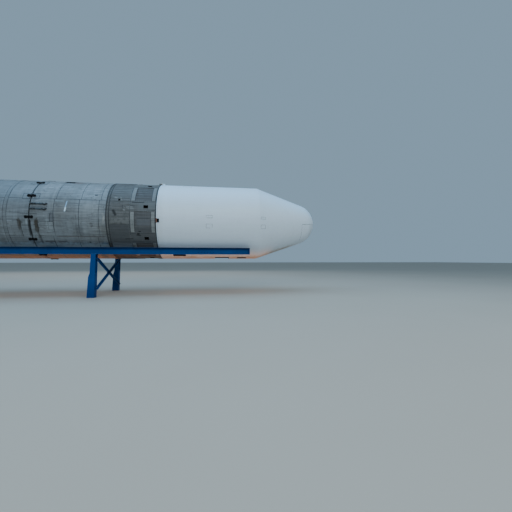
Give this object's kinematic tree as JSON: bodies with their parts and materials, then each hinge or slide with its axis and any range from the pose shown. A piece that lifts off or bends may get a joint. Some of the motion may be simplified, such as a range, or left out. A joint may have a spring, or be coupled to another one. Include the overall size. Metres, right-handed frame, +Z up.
{
  "type": "space rocket",
  "caption": "Long cylindrical space rocket with a conical nose fairing, lying on a blue steel cradle, with an opening fairing half and swinging engines at its tail.",
  "frame": {"origin": "on the ground under the middle of the whole object, rocket and cradle", "axes": "+X towards the nose, +Z up, +Y to the left when looking towards the nose"},
  "size_m": [29.2203, 3.147, 4.533],
  "materials": {
    "white": "weathered satin white",
    "grey": "weathered bare, with stains",
    "dark": "matte dark grey",
    "black": "matte black",
    "blue": "satin royal blue",
    "steel": "heat-stained"
  },
  "bodies": {
    "rocket_and_cradle": {"fairing_lower": "white", "payload_adapter": "grey", "upper_tank": "grey", "lower_tank": "grey", "oxidizer_tank": "grey", "fuel_tank": "grey", "raceway_second_stage": "grey", "raceway_first_stage": "grey", "equipment_section": "dark", "interstage": "dark", "intertank": "dark", "aft_skirt": "dark", "field_ring": "black", "joint_ring": "black", "thrust_frame": "steel", "conduits_right": "steel", "conduits_left": "steel", "rail_right": "blue", "leg_front_right": "blue", "leg_middle_right": "blue", "leg_rear_right": "blue", "rail_left": "blue", "leg_front_left": "blue", "leg_middle_left": "blue", "leg_rear_left": "blue", "brace_front": "blue", "brace_middle": "blue", "brace_rear": "blue"},
    "fairing_upper": {"fairing_upper": "white"},
    "engine_1": {"thrust_chamber_1": "steel", "turbopump_1": "grey"},
    "cylinder_1": {"actuator_cylinder_1": "steel"},
    "rod_1": {"actuator_rod_1": "steel"},
    "engine_2": {"thrust_chamber_2": "steel", "turbopump_2": "grey"},
    "cylinder_2": {"actuator_cylinder_2": "steel"},
    "rod_2": {"actuator_rod_2": "steel"},
    "engine_3": {"thrust_chamber_3": "steel", "turbopump_3": "grey"},
    "cylinder_3": {"actuator_cylinder_3": "steel"},
    "rod_3": {"actuator_rod_3": "steel"},
    "engine_4": {"thrust_chamber_4": "steel", "turbopump_4": "grey"},
    "cylinder_4": {"actuator_cylinder_4": "steel"},
    "rod_4": {"actuator_rod_4": "steel"}
  },
  "joints": [
    {"name": "fairing_lid", "type": "hinge", "parent": "rocket_and_cradle", "child": "fairing_upper", "pos_m": [8.1, 0, 4.505], "axis": [0, -1, 0], "range_deg": [0, 60]},
    {"name": "engine_1_swing", "type": "hinge", "parent": "rocket_and_cradle", "child": "engine_1", "pos_m": [-12.91, -0.6364, 3.5964], "axis": [0, -0.7071, 0.7071], "range_deg": [-6, 6]},
    {"name": "cylinder_1_pivot", "type": "hinge", "parent": "rocket_and_cradle", "child": "cylinder_1", "pos_m": [-12.92, -0.08485, 4.14794], "axis": [0, -0.7071, 0.7071], "range_deg": [-1.9, 1.9]},
    {"name": "rod_1_stroke", "type": "slide", "parent": "cylinder_1", "child": "rod_1", "axis": [-0.7266, -0.4858, -0.4858], "range_m": [-0.0605, 0.0605]},
    {"name": "engine_2_swing", "type": "hinge", "parent": "rocket_and_cradle", "child": "engine_2", "pos_m": [-12.91, -0.6364, 2.3236], "axis": [0, -0.7071, -0.7071], "range_deg": [-6, 6]},
    {"name": "cylinder_2_pivot", "type": "hinge", "parent": "rocket_and_cradle", "child": "cylinder_2", "pos_m": [-12.92, -1.18794, 2.87515], "axis": [0, -0.7071, -0.7071], "range_deg": [-1.9, 1.9]},
    {"name": "rod_2_stroke", "type": "slide", "parent": "cylinder_2", "child": "rod_2", "axis": [-0.7266, 0.4858, -0.4858], "range_m": [-0.0605, 0.0605]},
    {"name": "engine_3_swing", "type": "hinge", "parent": "rocket_and_cradle", "child": "engine_3", "pos_m": [-12.91, 0.6364, 2.3236], "axis": [0, 0.7071, -0.7071], "range_deg": [-6, 6]},
    {"name": "cylinder_3_pivot", "type": "hinge", "parent": "rocket_and_cradle", "child": "cylinder_3", "pos_m": [-12.92, 0.08485, 1.77206], "axis": [0, 0.7071, -0.7071], "range_deg": [-1.9, 1.9]},
    {"name": "rod_3_stroke", "type": "slide", "parent": "cylinder_3", "child": "rod_3", "axis": [-0.7266, 0.4858, 0.4858], "range_m": [-0.0605, 0.0605]},
    {"name": "engine_4_swing", "type": "hinge", "parent": "rocket_and_cradle", "child": "engine_4", "pos_m": [-12.91, 0.6364, 3.5964], "axis": [0, 0.7071, 0.7071], "range_deg": [-6, 6]},
    {"name": "cylinder_4_pivot", "type": "hinge", "parent": "rocket_and_cradle", "child": "cylinder_4", "pos_m": [-12.92, 1.18794, 3.04485], "axis": [0, 0.7071, 0.7071], "range_deg": [-1.9, 1.9]},
    {"name": "rod_4_stroke", "type": "slide", "parent": "cylinder_4", "child": "rod_4", "axis": [-0.7266, -0.4858, 0.4858], "range_m": [-0.0605, 0.0605]}
  ],
  "couplings": [
    {"joint": "cylinder_1_pivot", "follows": "engine_1_swing", "ratio": 0.302},
    {"joint": "rod_1_stroke", "follows": "engine_1_swing", "m_per_rad": 0.5747},
    {"joint": "cylinder_2_pivot", "follows": "engine_2_swing", "ratio": 0.302},
    {"joint": "rod_2_stroke", "follows": "engine_2_swing", "m_per_rad": 0.5747},
    {"joint": "cylinder_3_pivot", "follows": "engine_3_swing", "ratio": 0.302},
    {"joint": "rod_3_stroke", "follows": "engine_3_swing", "m_per_rad": 0.5747},
    {"joint": "cylinder_4_pivot", "follows": "engine_4_swing", "ratio": 0.302},
    {"joint": "rod_4_stroke", "follows": "engine_4_swing", "m_per_rad": 0.5747}
  ]
}
